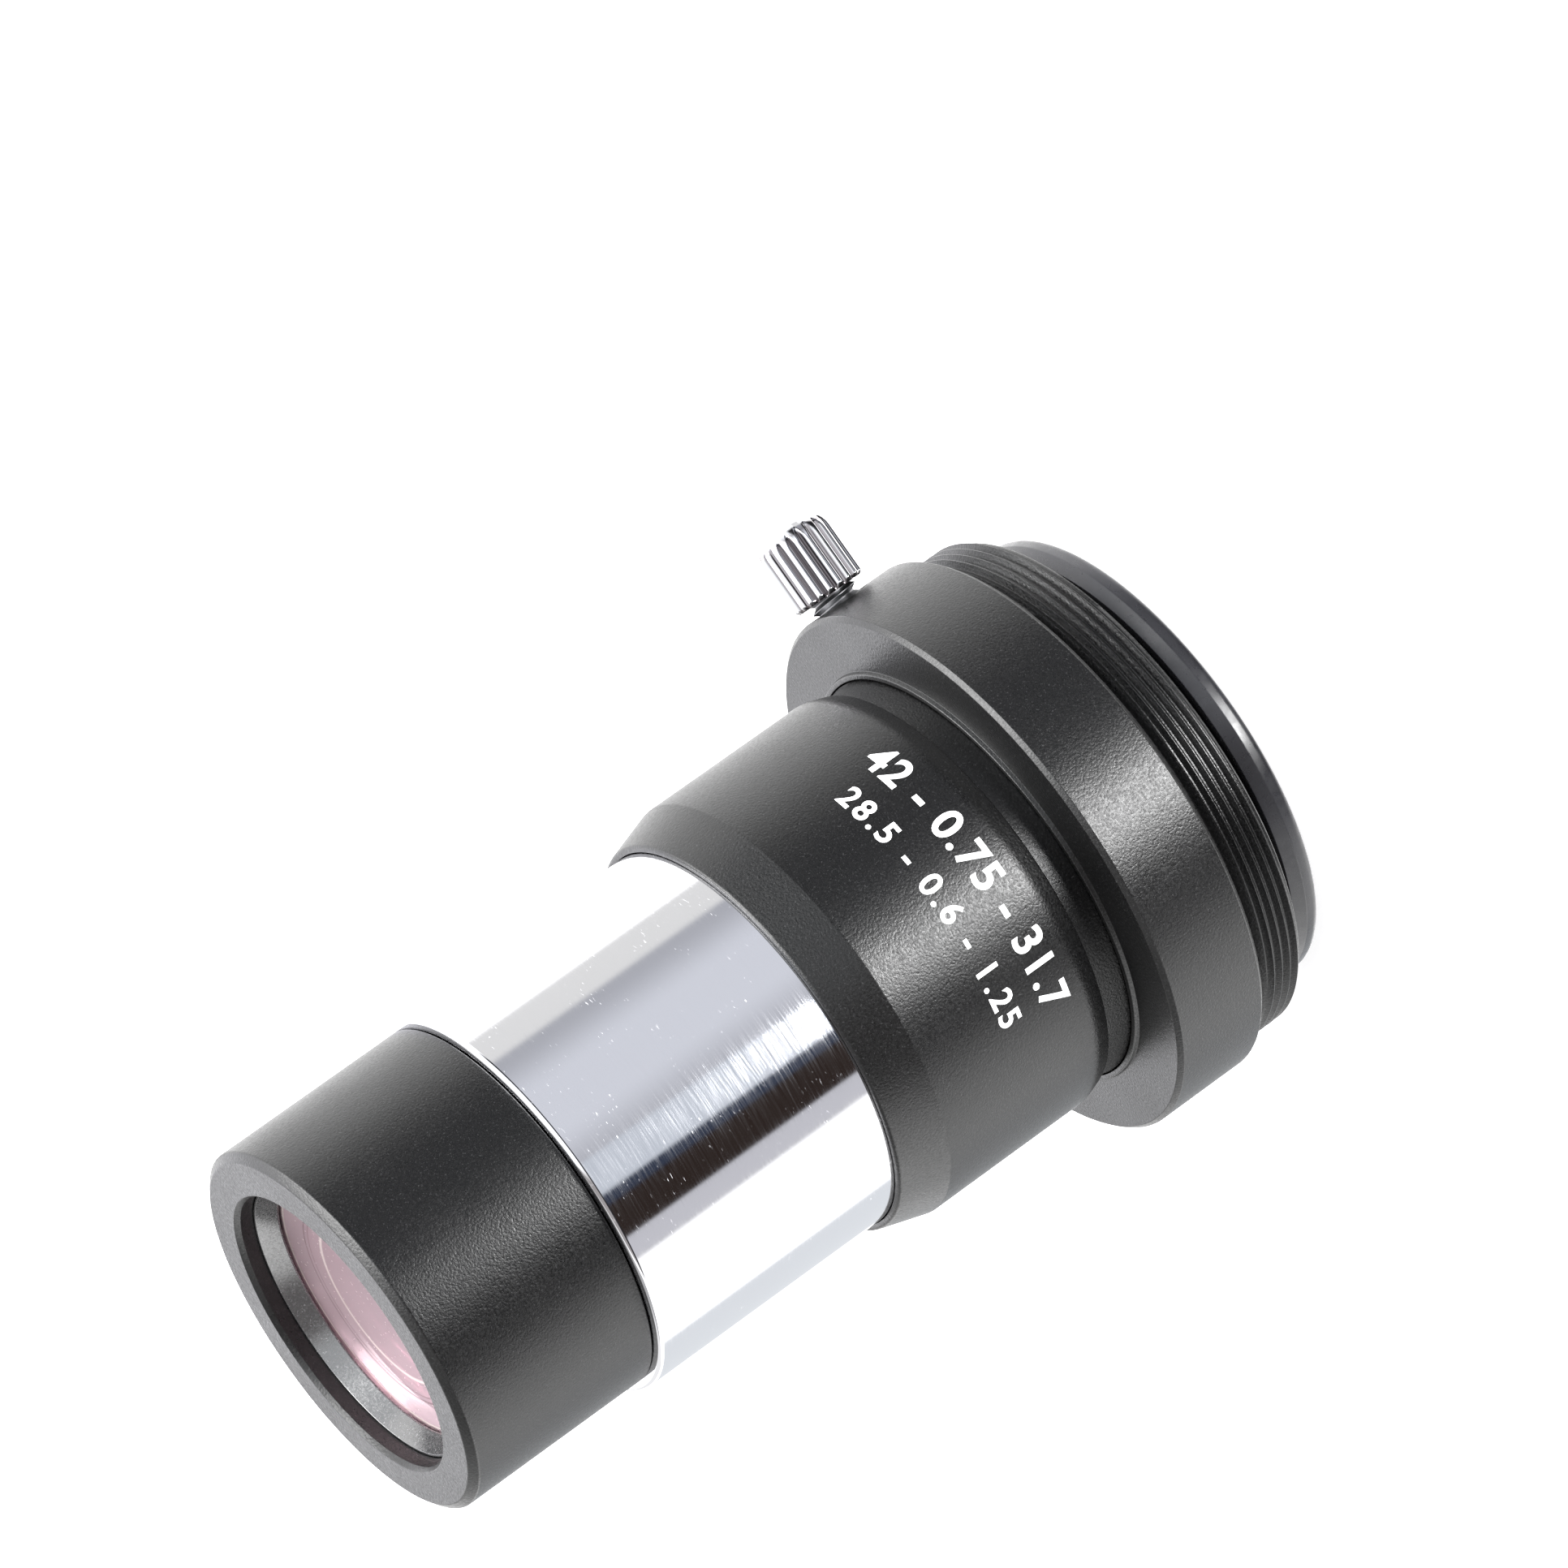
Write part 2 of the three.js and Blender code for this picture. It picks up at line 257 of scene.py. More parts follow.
# A thread's cross-section over one pitch: place along the pitch, and height from root (0) to crest (1)
THREAD_SHAPE = [
    (0.02, 0.92),
    (0.05, 1.0),
    (0.13, 1.0),
    (0.16, 0.92),
    (0.47, 0.08),
    (0.52, 0.0),
    (0.66, 0.0),
    (0.71, 0.08),
]


def helix(bm, crest, depth, pitch, start, end, start_radius, end_radius, segments=SEGMENTS):
    """A right-handed thread between two heights. It rises out of start_radius and sinks to end_radius on
    45 degree cones, so that each end is a plain circle that the rest of the piece joins."""
    points = len(THREAD_SHAPE)
    rows = points * (math.ceil((end - start) / pitch) + 2)
    columns = []
    for i in range(segments):
        turn = 2 * math.pi * i / segments
        column = []
        for j in range(rows + 1):
            along, rise = THREAD_SHAPE[j % points]
            height = start + (j // points + along + i / segments - 1) * pitch
            height = min(max(height, start), end)
            radius = crest - depth * (1 - rise)
            radius = min(radius, start_radius + height - start, end_radius + end - height)
            column.append(bm.verts.new(round_z(radius, turn, height)))
        columns.append(column)
    # The last column meets the first one a pitch further on
    for i, column in enumerate(columns):
        after = columns[(i + 1) % segments]
        lag = points if i == segments - 1 else 0
        for j in range(rows - lag):
            bm.faces.new([column[j], after[j + lag], after[j + lag + 1], column[j + 1]])
    return bm


def added(name, data):
    """A new object in the scene."""
    obj = bpy.data.objects.new(name, data)
    bpy.context.scene.collection.objects.link(obj)
    return obj


def crisp(obj, sharp=SHARP):
    """Smooth shading, broken at edges that turn by more than sharp degrees, with flat faces kept flat."""
    obj.data.shade_smooth()
    obj.data.set_sharp_from_angle(angle=math.radians(sharp))
    weighted = obj.modifiers.new("flat_faces_stay_flat", "WEIGHTED_NORMAL")
    weighted.keep_sharp = True
    weighted.weight = 90


def to_object(name, bm, sharp=SHARP):
    """Turns a bmesh into a crisp object."""
    bmesh.ops.remove_doubles(bm, verts=bm.verts, dist=1e-7)
    bmesh.ops.recalc_face_normals(bm, faces=bm.faces)
    mesh = bpy.data.meshes.new(name)
    bm.to_mesh(mesh)
    bm.free()
    obj = added(name, mesh)
    crisp(obj, sharp)
    return obj


def final_mesh(obj):
    """A mesh of what an object looks like with its modifiers, or of a line of text."""
    bpy.context.view_layer.update()
    return bpy.data.meshes.new_from_object(obj.evaluated_get(bpy.context.evaluated_depsgraph_get()))


def rod_along_x(obj):
    """Lays a piece that was turned round Z along +X, at the thumbscrew's height."""
    turn = Matrix.Rotation(math.radians(90), 4, "Y")
    obj.data.transform(Matrix.Translation((0, 0, SCREW_Z * MM)) @ turn)
    return obj


def cut(obj, *tools):
    """Cuts the tools out of obj and throws the tools away."""
    obj.modifiers.clear()
    for tool in tools:
        boolean = obj.modifiers.new("cut", "BOOLEAN")
        boolean.object = tool
        boolean.operation = "DIFFERENCE"
        boolean.solver = "EXACT"
    mesh = final_mesh(obj)
    obj.modifiers.clear()
    obj.data = mesh
    for tool in tools:
        bpy.data.objects.remove(tool)
    crisp(obj)


def drill(radius, start, end):
    """A cutting rod along +X between two distances from the axis."""
    profile = [(0, start), (radius, start), (radius, end), (0, end)]
    return rod_along_x(to_object("drill", turned(profile, SCREW_SEGMENTS, closed=False)))


def place(obj, finish, body, slot, *nodes):
    """Gives a piece its material, and says what it rides on and the CAD nodes that it stands for. The
    slot is not used."""
    obj.data.materials.append(finish)
    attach(obj, body)
    if nodes:
        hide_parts(*nodes)


# ---- material helpers ---------------------------------------------------------------------------


def fill(tree, target, inputs):
    """Links a node's inputs to sockets, or sets them to plain values."""
    for name, value in inputs.items():
        if isinstance(value, bpy.types.NodeSocket):
            tree.links.new(value, target.inputs[name])
        else:
            target.inputs[name].default_value = value


def node(tree, kind, inputs=None, **settings):
    """A new node with its settings and inputs."""
    made = tree.nodes.new(kind)
    for name, value in settings.items():
        setattr(made, name, value)
    fill(tree, made, inputs or {})
    return made


def maths(tree, operation, *values):
    """The result of an operation on sockets or numbers."""
    return node(tree, "ShaderNodeMath", dict(enumerate(values)), operation=operation).outputs[0]


def from_axis(tree, first, second):
    """The distance from an axis, from the two coordinates across it."""
    squares = [maths(tree, "POWER", value, 2) for value in (first, second)]
    return maths(tree, "SQRT", maths(tree, "ADD", *squares))


def material(name):
    """A new material with its node tree, principled shader and object coordinates."""
    made = bpy.data.materials.new(name)
    made.use_nodes = True
    tree = made.node_tree
    shader = tree.nodes["Principled BSDF"]
    coords = node(tree, "ShaderNodeTexCoord").outputs["Object"]
    return made, tree, shader, coords


def noise(tree, coords, scale, detail=2.0, stretch=None):
    """Noise with about scale features per metre. Stretch multiplies the coordinates first."""
    if stretch:
        stretched = node(tree, "ShaderNodeVectorMath", {0: coords, 1: stretch}, operation="MULTIPLY")
        coords = stretched.outputs[0]
    inputs = {"Vector": coords, "Scale": scale, "Detail": detail}
    return node(tree, "ShaderNodeTexNoise", inputs).outputs["Fac"]


def ramp(tree, value, low, high, to_low, to_high, shape="LINEAR"):
    """Maps low..high to to_low..to_high, clamped."""
    inputs = {"Value": value, "From Min": low, "From Max": high, "To Min": to_low, "To Max": to_high}
    return node(tree, "ShaderNodeMapRange", inputs, interpolation_type=shape).outputs["Result"]


def vary(tree, source, low, high):
    """Maps the range that most of a noise lies in to low..high."""
    return ramp(tree, source, 0.3, 0.7, low, high)


def bump(tree, height, strength, distance, below=None):
    """The normal of a bumpy surface. Below is the normal of another bump that this one lies on."""
    inputs = {"Height": height, "Strength": strength, "Distance": distance}
    if below:
        inputs["Normal"] = below
    return node(tree, "ShaderNodeBump", inputs).outputs["Normal"]


def mix_colour(tree, share, first, second):
    """The first colour where share is 0 and the second where it is 1."""
    mix = node(tree, "ShaderNodeMix", data_type="RGBA")
    for socket, value in (("Factor", share), ("A", first), ("B", second)):
        target = [s for s in mix.inputs if s.name == socket and s.enabled][0]
        if isinstance(value, bpy.types.NodeSocket):
            tree.links.new(value, target)
        else:
            target.default_value = value
    return [s for s in mix.outputs if s.enabled][0]


def mix_shader(tree, share, first, second):
    """The first shader node where share is 0 and the second where it is 1."""
    return node(tree, "ShaderNodeMixShader", {0: share, 1: first.outputs[0], 2: second.outputs[0]})


# ---- finishes -----------------------------------------------------------------------------------


def anodised(name, grain=1.0, rough=0.35, colour=0.0015, gloss=1.52):
    """Black anodising over a fine bead-blasted surface. Grain scales its bumps, and gloss is the
    refractive index that sets how strongly it mirrors."""
    made, tree, shader, coords = material(name)
    beads = noise(tree, coords, 5400, 3.0)
    patches = noise(tree, coords, 160)
    specks = noise(tree, coords, 7500, 1.0)
    black = (colour, colour, colour * 1.08, 1)
    pale = (colour * 16, colour * 16, colour * 16.6, 1)
    fine = vary(tree, beads, rough - 0.08, rough + 0.08)
    broad = vary(tree, patches, -0.02, 0.02)
    look = {
        "Base Color": mix_colour(tree, ramp(tree, specks, 0.62, 0.8, 0, 1), black, pale),
        "Roughness": maths(tree, "ADD", fine, broad),
        "Normal": bump(tree, beads, 0.8 * grain, 3.5e-5),
        "IOR": gloss,
    }
    fill(tree, shader, look)
    return made


def flute_painted_shade(tree, coords):
    """Painted shade in the knob's flutes: 1 in their depths, 0 on their crests and on the knob's domed
    end.
    """
    parts = node(tree, "ShaderNodeSeparateXYZ", {0: coords}).outputs
    height = maths(tree, "SUBTRACT", parts["Z"], SCREW_Z * MM)
    radius = from_axis(tree, parts["Y"], height)
    deep = ramp(tree, radius, (KNOB_RADIUS - 0.2) * MM, (KNOB_RADIUS - 0.04) * MM, 1, 0)
    off_dome = ramp(tree, parts["X"], (KNOB_END - 1.6) * MM, (KNOB_END - 1.1) * MM, 1, 0)
    return maths(tree, "MULTIPLY", deep, off_dome)


def chrome(name, dust=1.0, rough=0.05, shade_flutes=False):
    """Chrome plate with hairline scratches round it and a little dust. The last argument paints shade
    into the knob's flutes, so the plate is darker in their depths."""
    made, tree, shader, coords = material(name)
    hairs = noise(tree, coords, 1000, 2.0, (0.35, 0.35, 16.0))
    waves = noise(tree, coords, 60, 1.0)
    lint = ramp(tree, noise(tree, coords, 5200, 0.0, (0.45, 0.45, 1.6)), 0.75, 0.84, 0, 0.3)
    where = ramp(tree, noise(tree, coords, 420, 3.0), 0.5, 0.62, 0, 1)
    spots = maths(tree, "MULTIPLY", maths(tree, "MULTIPLY", lint, where), dust)
    plate = mix_colour(tree, spots, (0.84, 0.84, 0.865, 1), (0.9, 0.9, 0.9, 1))
    # Painted shade: the plate is darker in the depths of the knob's flutes
    if shade_flutes:
        plate = mix_colour(tree, flute_painted_shade(tree, coords), plate, (0.3, 0.28, 0.29, 1))
    film = ramp(tree, hairs, 0.35, 0.75, rough, rough + 0.09)
    look = {
        "Base Color": plate,
        "Metallic": maths(tree, "SUBTRACT", 1.0, spots),
        "Roughness": maths(tree, "ADD", film, maths(tree, "MULTIPLY", spots, 0.6)),
        "Normal": bump(tree, waves, 0.3, 1e-5, bump(tree, hairs, 0.12, 4e-6)),
    }
    fill(tree, shader, look)
    return made


def turned_metal(name, colour, rough):
    """Bare metal with the fine lines that a lathe leaves."""
    made, tree, shader, coords = material(name)
    lines = noise(tree, coords, 1000, 2.0, (9.0, 1.0, 1.0))
    shade = tuple(c * 0.7 for c in colour)
    look = {
        "Base Color": mix_colour(tree, vary(tree, lines, 0, 1), (*shade, 1), (*colour, 1)),
        "Metallic": 1.0,
        "Roughness": vary(tree, lines, rough, rough + 0.15),
        "Normal": bump(tree, lines, 0.3, 1e-5),
    }
    fill(tree, shader, look)
    return made


def moulded(name, dark, pale):
    """Moulded plastic, half gloss, with a fine skin over broad sink marks."""
    made, tree, shader, coords = material(name)
    skin = noise(tree, coords, 1500, 3.0)
    sink = noise(tree, coords, 90)
    look = {
        "Base Color": mix_colour(tree, vary(tree, sink, 0, 1), (*dark, 1), (*pale, 1)),
        "Roughness": vary(tree, skin, 0.24, 0.36),
        "Normal": bump(tree, sink, 0.2, 1e-4, bump(tree, skin, 0.15, 1e-5)),
    }
    fill(tree, shader, look)
    return made


def paint(name, thin, thick):
    """Pad-printed ink with slightly thin patches."""
    made, tree, shader, coords = material(name)
    patches = noise(tree, coords, 3000, 3.0)
    look = {
        "Base Color": mix_colour(tree, ramp(tree, patches, 0.35, 0.6, 0, 1), (*thin, 1), (*thick, 1)),
        "Roughness": 0.55,
        "Normal": bump(tree, patches, 0.2, 1e-5),
    }
    fill(tree, shader, look)
    return made


# Painted reflections of the rims of the glass, drawn as rings in the coating: radius, half width, colour
PAINTED_RIM_REFLECTIONS = [
    (8.3, 0.1, (0.16, 0.1, 0.12, 1)),
    (7.9, 0.08, (0.2, 0.13, 0.15, 1)),
    (6.6, 0.2, (0.9, 0.8, 0.76, 1)),
    (10.3, 0.14, (1.0, 0.92, 0.84, 1)),
]


def coated_glass(name, tint):
    """Optical glass whose coating reflects a tint, softly and sharply, with a trace of dust and with
    painted reflections of the rims as rings.
    """
    made, tree, shader, coords = material(name)
    dust = noise(tree, coords, 4200, 0.0)
    smear = noise(tree, coords, 120, 2.0)
    look = {
        "Base Color": (0.97, 0.93, 0.95, 1),
        "Transmission Weight": 1.0,
        "IOR": 1.6,
        "Roughness": ramp(tree, dust, 0.74, 0.8, 0.0, 0.35),
    }
    fill(tree, shader, look)
    bloom = node(tree, "ShaderNodeBsdfGlossy", {"Color": (*tint, 1), "Roughness": 0.45})
    coat = node(tree, "ShaderNodeBsdfGlossy", {"Color": (*tint, 1), "Roughness": 0.03})
    facing = node(tree, "ShaderNodeLayerWeight", {"Blend": 0.35}).outputs["Fresnel"]
    mirror = ramp(tree, facing, 0.0, 1.0, 0.12, 0.9)
    haze = ramp(tree, smear, 0.4, 0.7, 0.0, 0.05)
    layers = mix_shader(tree, 0.5, shader, bloom)
    layers = mix_shader(tree, maths(tree, "ADD", mirror, haze), layers, coat)
    parts = node(tree, "ShaderNodeSeparateXYZ", {0: coords}).outputs
    across = from_axis(tree, parts["X"], parts["Y"])
    for radius, half_width, colour in PAINTED_RIM_REFLECTIONS:
        off = maths(tree, "ABSOLUTE", maths(tree, "SUBTRACT", across, radius * MM))
        line = ramp(tree, off, 0, half_width * MM, 0.7, 0)
        # A glossy layer of the ring's colour at a fixed radius: a painted reflection
        arc = node(tree, "ShaderNodeBsdfGlossy", {"Color": colour, "Roughness": 0.4})
        layers = mix_shader(tree, line, layers, arc)
    tree.links.new(layers.outputs[0], tree.nodes["Material Output"].inputs["Surface"])
    return made


BLACK = anodised("black_anodised")
RING_BLACK = anodised("ring_black", grain=0.25, rough=0.24, colour=0.012, gloss=2.5)
BARREL_CHROME = chrome("barrel_chrome")
# This chrome has painted shade in the depths of the knob's flutes
SCREW_CHROME = chrome("screw_chrome", dust=0.3, rough=0.06, shade_flutes=True)
STEEL = turned_metal("screw_steel", (0.3, 0.3, 0.31), 0.3)
BRASS = turned_metal("tip_brass", (0.72, 0.53, 0.26), 0.3)
PLASTIC = moulded("cap_plastic", (0.012, 0.012, 0.014), (0.02, 0.02, 0.024))
INK = paint("white_ink", (0.7, 0.7, 0.7), (0.86, 0.86, 0.86))
GLASS_FRONT = coated_glass("coated_glass_front", (0.95, 0.74, 0.8))
GLASS_REAR = coated_glass("coated_glass_rear", (0.95, 0.85, 0.78))


# ---- dust cap -----------------------------------------------------------------------------------

cap_profile = [
    (0, 0),
    (CAP_RADIUS, 0, 0.7),
    (CAP_RADIUS, CAP_EDGE_Z, 0.3),
    (CAP_RADIUS - CAP_SLOPE, CAP_THICKNESS, 0.1),
    (PLUG_RADIUS, CAP_THICKNESS, 0.15),
    (PLUG_RADIUS, PLUG_END_Z - PLUG_LEAD_HEIGHT, 0.2),
    (PLUG_RADIUS - PLUG_LEAD, PLUG_END_Z, 0.1),
    (PLUG_RADIUS - PLUG_WALL, PLUG_END_Z, 0.15),
    (PLUG_RADIUS - PLUG_WALL, CAP_WEB, 0.4),
    (0, CAP_WEB),
]
cap = to_object("cap", turned(soften(cap_profile), closed=False))
place(cap, PLASTIC, "dust_cap", "cap_plastic", "dust_cap")


# ---- eyepiece holder ----------------------------------------------------------------------------

# The profile goes from the end of the M42 thread, over the collar and through the socket, back to the
# thread's start
holder_profile = [
    (RELIEF_RADIUS, M42_END_Z),
    (RELIEF_RADIUS, COLLAR_Z + RELIEF_RUNOUT, 0.1),
    (SHOULDER_RADIUS, COLLAR_Z),
    (COLLAR_RADIUS - COLLAR_BEVEL, COLLAR_Z, 0.1),
    (COLLAR_RADIUS, COLLAR_Z + COLLAR_BEVEL, 0.15),
    (COLLAR_RADIUS, COLLAR_TOP_Z - COLLAR_TOP_BEVEL, 0.12),
    (COLLAR_RADIUS - COLLAR_TOP_BEVEL, COLLAR_TOP_Z, 0.12),
    (RIDGE_RADIUS, COLLAR_TOP_Z, 0.05),
    (RIDGE_RADIUS - RIDGE_TAPER, RIDGE_TOP_Z, 0.12),
    (SPIGOT_BORE, RIDGE_TOP_Z, 0.08),
    (SPIGOT_BORE, SPIGOT_END_Z - GAP),
    (SOCKET_RADIUS, SPIGOT_END_Z - GAP),
    (SOCKET_RADIUS, LIP_Z + SOCKET_LEAD, 0.1),
    (SOCKET_RADIUS + SOCKET_LEAD, LIP_Z, 0.1),
    (LIP_RADIUS, LIP_Z, 0.15),
    (LIP_RADIUS, THREAD_Z, 0.2),
    (M42_START_RADIUS, THREAD_Z),
]
holder_mesh = helix(
    bmesh.new(),
    M42_CREST,
    M42_DEPTH,
    M42_PITCH,
    start=THREAD_Z,
    end=M42_END_Z,
    start_radius=M42_START_RADIUS,
    end_radius=RELIEF_RADIUS,
)
turned(soften(holder_profile), closed=False, bm=holder_mesh)
holder = to_object("holder", holder_mesh)
screw_hole = drill(SCREW_HOLE, SOCKET_RADIUS - OVERSHOOT, SPOT_FLOOR + OVERSHOOT)
spot_face = drill(SPOT_RADIUS, SPOT_FLOOR, KNOB_END)
cut(holder, screw_hole, spot_face)
place(holder, BLACK, "main", "black_anodised", "eyepiece_holder")


# ---- body tube ----------------------------------------------------------------------------------

body_profile = [
    (SOCKET_RADIUS, SPIGOT_END_Z),
    (SPIGOT_RADIUS, SPIGOT_END_Z, 0.1),
    (SPIGOT_RADIUS, RIDGE_TOP_Z),
    (NECK_RADIUS, RIDGE_TOP_Z + NECK_STEP),
    (NECK_RADIUS, BODY_Z, 0.1),
    (BODY_RADIUS - BODY_EDGE, BODY_Z, 0.15),
    (BODY_RADIUS, BODY_Z + BODY_EDGE_HEIGHT, 3.0),
    (BODY_RADIUS, BEVEL_Z, 0.5),
    (RIM_RADIUS, BODY_TOP_Z, 0.3),
    (SOCKET_RADIUS, BODY_TOP_Z, 0.08),
]
body = to_object("body", turned(soften(body_profile)))
cut(body, drill(SCREW_HOLE, SOCKET_RADIUS - OVERSHOOT, SPIGOT_RADIUS + OVERSHOOT))
place(body, BLACK, "main", "black_anodised", "body_tube")


# ---- printed sizes ------------------------------------------------------------------------------


def printed(name, text, height, spread, angle, centre_z):
    """Prints a line of numbers round the body. Height is that of the digits, spread the letter
    spacing, and angle where the line's middle is, in degrees from -Y towards +X."""
    font = bpy.data.curves.new(name, "FONT")
    font.body = text
    font.align_x = "CENTER"
    font.align_y = "CENTER"
    font.size = height * MM / DIGIT_SHARE
    font.space_character = spread
    font.extrude = INK_HEIGHT * MM
    font.resolution_u = 6
    font.offset = STROKE_SWELL * height * MM
    flat = added(name, font)
    bm = bmesh.new()
    bm.from_mesh(final_mesh(flat))
    bpy.data.objects.remove(flat)
    bmesh.ops.remove_doubles(bm, verts=bm.verts, dist=1e-7)
    reach = max(abs(v.co.x) for v in bm.verts) / MM
    for i in range(int(-reach / SLICE), int(reach / SLICE) + 1):
        bmesh.ops.bisect_plane(
            bm,
            geom=bm.verts[:] + bm.edges[:] + bm.faces[:],
            plane_co=(i * SLICE * MM, 0, 0),
            plane_no=(1, 0, 0),
            dist=1e-8,
        )
    bmesh.ops.triangulate(bm, faces=bm.faces)
    for v in bm.verts:
        turn = math.radians(angle) - v.co.x / (BODY_RADIUS * MM)
        radius = BODY_RADIUS * MM + v.co.z
        v.co = Vector((radius * math.sin(turn), -radius * math.cos(turn), centre_z * MM - v.co.y))
    line = to_object(name, bm, FINE_SHARP)
    place(line, INK, "main", "black_anodised")


printed("sizes_large", "42 - 0.75 - 31.7", height=2.4, spread=1.1, angle=3, centre_z=22.6)
printed("sizes_small", "28.5 - 0.6 - 1.25", height=1.8, spread=1.25, angle=2, centre_z=26.4)


# ---- barrel -------------------------------------------------------------------------------------

barrel_profile = [
    (BARREL_BORE, BARREL_START_Z, 0.2),
    (BARREL_RADIUS, BARREL_START_Z, 0.3),
    (BARREL_RADIUS, BARREL_END_Z, 0.4),
    (BARREL_BORE, BARREL_END_Z, 0.1),
]
barrel = to_object("barrel_tube", turned(soften(barrel_profile)))
place(barrel, BARREL_CHROME, "main", "barrel_chrome", "barrel")

# The bore is blackened
barrel.data.materials.append(BLACK)
for face in barrel.data.polygons:
    if math.hypot(face.center.x, face.center.y) < (BARREL_BORE + GAP) * MM:
        face.material_index = 1


# ---- lens cell ----------------------------------------------------------------------------------

cell_profile = [
    (CELL_RELIEF_RADIUS, CELL_RELIEF_Z),
    (CELL_RELIEF_RADIUS, CELL_Z, 0.05),
    (CELL_RADIUS, CELL_Z, 0.15),
    (CELL_RADIUS, NOSE_Z - CELL_BEVEL_HEIGHT, 0.25),
    (CELL_RADIUS - CELL_BEVEL, NOSE_Z, 0.25),
    (CELL_BORE + CELL_MOUTH, NOSE_Z, 0.08),
    (CELL_BORE, NOSE_Z - CELL_MOUTH_HEIGHT, 0.1),
    (CELL_BORE, LEDGE_Z),
    (CELL_REAR_BORE, LEDGE_Z, 0.1),
    (CELL_REAR_BORE, CELL_START_Z, 0.1),
    (CELL_RELIEF_RADIUS, CELL_START_Z),
]
cell_mesh = helix(
    bmesh.new(),
    CELL_THREAD_RADIUS,
    CELL_THREAD_DEPTH,
    CELL_THREAD_PITCH,
    start=CELL_START_Z,
    end=CELL_RELIEF_Z,
    start_radius=CELL_RELIEF_RADIUS,
    end_radius=CELL_RELIEF_RADIUS,
)
turned(soften(cell_profile), closed=False, bm=cell_mesh)
cell = to_object("cell_housing", cell_mesh)
place(cell, BLACK, "lens_cell", "black_anodised", "lens_cell")

ring_profile = [
    (RING_BORE, RING_Z),
    (RING_RADIUS, RING_Z),
    (RING_RADIUS, RING_TOP_Z, 0.05),
    (RING_MOUTH, RING_TOP_Z, 0.05),
    (RING_BORE, RING_Z + RING_LAND, 0.05),
]
spanner_ring = to_object("spanner_ring", turned(soften(ring_profile)))

# One bar across the ring cuts both of its slots, half as deep as they are wide
bpy.ops.mesh.primitive_cube_add(size=1, location=(0, 0, RING_TOP_Z * MM))
slot_bar = bpy.context.object
slot_bar.scale = (2.1 * RING_RADIUS * MM, RING_SLOT * MM, RING_SLOT * MM)
cut(spanner_ring, slot_bar)
place(spanner_ring, RING_BLACK, "lens_cell", "ring_black", "retaining_ring")


# ---- lens pair ----------------------------------------------------------------------------------


def sag(curve, radius):
    """How far a surface with this radius of curvature falls back at a distance from the axis."""
    return curve - math.sqrt(curve * curve - radius * radius)


def lens_surface(curve, rim_z, bulge):
    """Points of a lens surface from the axis to the rim. Bulge is 1 where the middle is higher than the
    rim and -1 where it is lower."""
    points = []
    for i in range(LENS_STEPS + 1):
        radius = LENS_RADIUS * i / LENS_STEPS
        points.append((radius, rim_z + bulge * (sag(curve, LENS_RADIUS) - sag(curve, radius))))
    return points


def element(name, rear, front, glass, cad_node):
    """A lens between its rear and front surfaces."""
    lens = to_object(name, turned([*rear, *reversed(front)], closed=False))
    place(lens, glass, "lens_pair", "coated_glass", cad_node)


element(
    "front_element",
    lens_surface(MIDDLE_CURVE, LENS_SEAM_Z, 1),
    lens_surface(FRONT_CURVE, LENS_TOP_Z, -1),
    GLASS_FRONT,
    "lens_front",
)
element(
    "rear_element",
    lens_surface(REAR_CURVE, LENS_REAR_Z, 1),
    lens_surface(MIDDLE_CURVE, LENS_SEAM_Z - CEMENT, 1),
    GLASS_REAR,
    "lens_rear",
)


# ---- thumbscrew ---------------------------------------------------------------------------------


def fluted_knob():
    """The knob, turned round Z from its start, with grooves that run out where the dome falls below
    them."""
    segments = FLUTE_SEGMENTS * FLUTES
    dome_start = KNOB_END - KNOB_DOME
    profile = soften(
        [
            (0, KNOB_START + KNOB_BORE_DEPTH),
            (KNOB_BORE, KNOB_START + KNOB_BORE_DEPTH),
            (KNOB_BORE, KNOB_START, 0.1),
            (KNOB_RADIUS - KNOB_BEVEL, KNOB_START, 0.1),
            (KNOB_RADIUS, KNOB_START + KNOB_BEVEL, 0.15),
            (KNOB_RADIUS, dome_start - FLUTE_FADE),
        ]
    )
    for i in range(DOME_STEPS + 1):
        turn = math.radians(90 * i / DOME_STEPS)
        profile.append((KNOB_RADIUS * math.cos(turn), dome_start + KNOB_DOME * math.sin(turn)))
    bm = bmesh.new()
    rings = []
    for radius, height in profile:
        points = ring(bm, radius, height, segments)
        if radius > KNOB_BORE:
            for i, v in enumerate(points):
                wave = 0.5 - 0.5 * math.cos(2 * math.pi * i * FLUTES / segments)
                limit = KNOB_RADIUS - FLUTE_DEPTH * wave**FLUTE_NARROWING
                v.co.xy *= min(1, limit / radius)
        rings.append(points)
    bridge(bm, rings)
    return bm


knob = rod_along_x(to_object("knob", fluted_knob(), FINE_SHARP))
place(knob, SCREW_CHROME, "thumbscrew", "screw_chrome", "thumbscrew_knob")

shank_mesh = helix(
    bmesh.new(),
    SHANK_RADIUS,
    SCREW_THREAD_DEPTH,
    SCREW_PITCH,
    start=SHANK_START,
    end=SHANK_END,
    start_radius=SHANK_ROOT,
    end_radius=SHANK_ROOT,
    segments=SCREW_SEGMENTS,
)
for end in (SHANK_START, SHANK_END):
    turned([(0, end), (SHANK_ROOT, end)], SCREW_SEGMENTS, closed=False, bm=shank_mesh)
shank = rod_along_x(to_object("shank", shank_mesh))
place(shank, STEEL, "thumbscrew", "screw_steel", "thumbscrew_shank")

